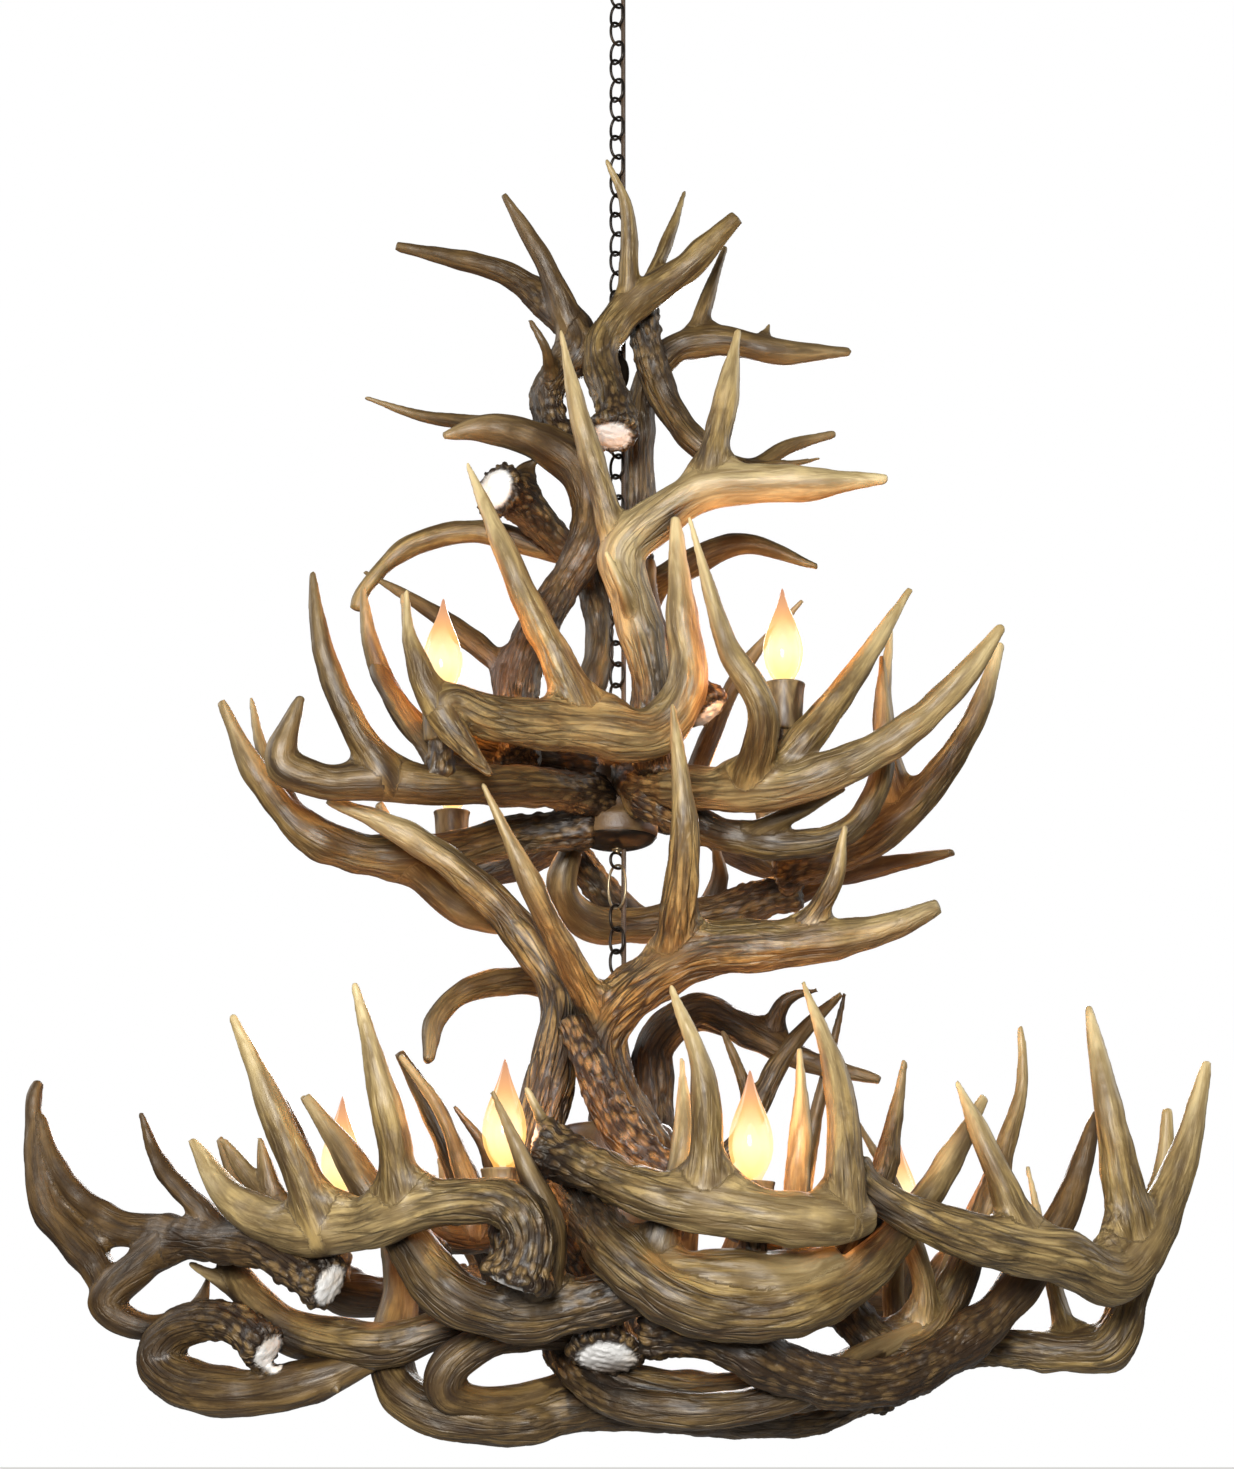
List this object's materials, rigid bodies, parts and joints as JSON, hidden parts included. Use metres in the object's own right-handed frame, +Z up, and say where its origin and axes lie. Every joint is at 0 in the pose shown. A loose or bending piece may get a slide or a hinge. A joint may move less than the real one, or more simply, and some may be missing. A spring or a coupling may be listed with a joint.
{
  "type": "antler chandelier",
  "caption": "Two-tier hanging chandelier of interlocked branching antlers on a chain, with flame-tip bulbs standing in cups along the beams.",
  "frame": {"origin": "centre of the canopy's face against the ceiling", "axes": "+Z up into the ceiling, +X to the viewer's right, +Y away from the viewer"},
  "size_m": [0.9869, 0.7236, 1.4213],
  "materials": {
    "antler": "lacquered antler, grooved and streaked dark brown, paler towards the tine tips",
    "bulb_glass": "clear warm-white flame-tip bulb",
    "chain": "oil-rubbed dark bronze",
    "drop_ring": "aged pale brass wire",
    "cord": "dark brown flexible sheath",
    "canopy": "oil-rubbed dark bronze",
    "hub": "dark bronze, satin",
    "lamp_cup": "antler-brown cup round a dark lampholder"
  },
  "bodies": {
    "canopy": {"canopy": "canopy"},
    "chain_top_link": {"chain_top_link": "chain"},
    "upper_section": {"chain_upper": "chain", "lamp_cord_upper": "cord", "upper_hub": "hub", "upper_lamp_cups": "lamp_cup", "antler_mid_front_right": "antler", "antler_mid_left": "antler", "antler_mid_far_left": "antler", "antler_mid_back_right": "antler", "antler_mid_back_left": "antler", "antler_mid_right": "antler", "antler_mid_under_hub": "antler", "antler_mid_front_left": "antler", "antler_crown_front": "antler", "antler_crown_arcs": "antler", "antler_crown_mid": "antler", "antler_crown_left_s": "antler", "antler_crown_left": "antler", "antler_crown_right": "antler", "antler_crown_back": "antler", "antler_crown_right_s": "antler", "antlers_upper_inner": "antler"},
    "drop_link": {"drop_link": "drop_ring"},
    "lower_section": {"chain_lower": "chain", "lamp_cord_lower": "cord", "lower_hub": "hub", "lower_lamp_cups": "lamp_cup", "antler_ring_back_arc": "antler", "antler_ring_back_left": "antler", "antler_ring_back_right": "antler", "antler_ring_back_spoke": "antler", "antler_ring_centre_front": "antler", "antler_ring_far_left": "antler", "antler_ring_front_left": "antler", "antler_ring_front_right": "antler", "antler_ring_inner_left": "antler", "antler_ring_loop": "antler", "antler_ring_low_front": "antler", "antler_ring_low_left": "antler", "antler_ring_low_right": "antler", "antler_ring_right": "antler", "antler_ring_rough": "antler", "antler_ring_under_back": "antler", "antler_ring_under_front": "antler", "antler_stem_arc": "antler", "antler_stem_back": "antler", "antler_stem_front": "antler", "antler_stem_left": "antler", "antlers_lower_inner": "antler"},
    "bulb_upper_back_left": {"bulb_upper_back_left": "bulb_glass"},
    "bulb_upper_back_right": {"bulb_upper_back_right": "bulb_glass"},
    "bulb_upper_front_left": {"bulb_upper_front_left": "bulb_glass"},
    "bulb_upper_front_right": {"bulb_upper_front_right": "bulb_glass"},
    "bulb_lower_front_left": {"bulb_lower_front_left": "bulb_glass"},
    "bulb_lower_front_right": {"bulb_lower_front_right": "bulb_glass"},
    "bulb_lower_rear_left": {"bulb_lower_rear_left": "bulb_glass"},
    "bulb_lower_rear_right": {"bulb_lower_rear_right": "bulb_glass"},
    "bulb_lower_side_left": {"bulb_lower_side_left": "bulb_glass"},
    "bulb_lower_side_right": {"bulb_lower_side_right": "bulb_glass"}
  },
  "joints": [
    {"name": "top_link_swing", "type": "hinge", "parent": "canopy", "child": "chain_top_link", "pos_m": [0, 0, -0.042], "axis": [0.7071, 0.7071, 0], "range_deg": [-10, 10]},
    {"name": "chain_swing", "type": "hinge", "parent": "chain_top_link", "child": "upper_section", "pos_m": [0, 0, -0.0617], "axis": [-0.7071, 0.7071, 0], "range_deg": [-10, 10]},
    {"name": "drop_link_swing", "type": "hinge", "parent": "upper_section", "child": "drop_link", "pos_m": [0, 0, -0.9318], "axis": [0.7071, 0.7071, 0], "range_deg": [-1.5, 1.5]},
    {"name": "lower_section_swing", "type": "hinge", "parent": "drop_link", "child": "lower_section", "pos_m": [0, 0, -0.9681], "axis": [-0.7071, 0.7071, 0], "range_deg": [-1.5, 1.5]},
    {"name": "bulb_upper_back_left_unscrew", "type": "slide", "parent": "upper_section", "child": "bulb_upper_back_left", "axis": [0, 0, 1], "range_m": [0, 0.028]},
    {"name": "bulb_upper_back_right_unscrew", "type": "slide", "parent": "upper_section", "child": "bulb_upper_back_right", "axis": [0, 0, 1], "range_m": [0, 0.028]},
    {"name": "bulb_upper_front_left_unscrew", "type": "slide", "parent": "upper_section", "child": "bulb_upper_front_left", "axis": [0, 0, 1], "range_m": [0, 0.028]},
    {"name": "bulb_upper_front_right_unscrew", "type": "slide", "parent": "upper_section", "child": "bulb_upper_front_right", "axis": [0, 0, 1], "range_m": [0, 0.028]},
    {"name": "bulb_lower_front_left_unscrew", "type": "slide", "parent": "lower_section", "child": "bulb_lower_front_left", "axis": [0, 0, 1], "range_m": [0, 0.028]},
    {"name": "bulb_lower_front_right_unscrew", "type": "slide", "parent": "lower_section", "child": "bulb_lower_front_right", "axis": [0, 0, 1], "range_m": [0, 0.028]},
    {"name": "bulb_lower_rear_left_unscrew", "type": "slide", "parent": "lower_section", "child": "bulb_lower_rear_left", "axis": [0, 0, 1], "range_m": [0, 0.028]},
    {"name": "bulb_lower_rear_right_unscrew", "type": "slide", "parent": "lower_section", "child": "bulb_lower_rear_right", "axis": [0, 0, 1], "range_m": [0, 0.028]},
    {"name": "bulb_lower_side_left_unscrew", "type": "slide", "parent": "lower_section", "child": "bulb_lower_side_left", "axis": [0, 0, 1], "range_m": [0, 0.028]},
    {"name": "bulb_lower_side_right_unscrew", "type": "slide", "parent": "lower_section", "child": "bulb_lower_side_right", "axis": [0, 0, 1], "range_m": [0, 0.028]}
  ]
}
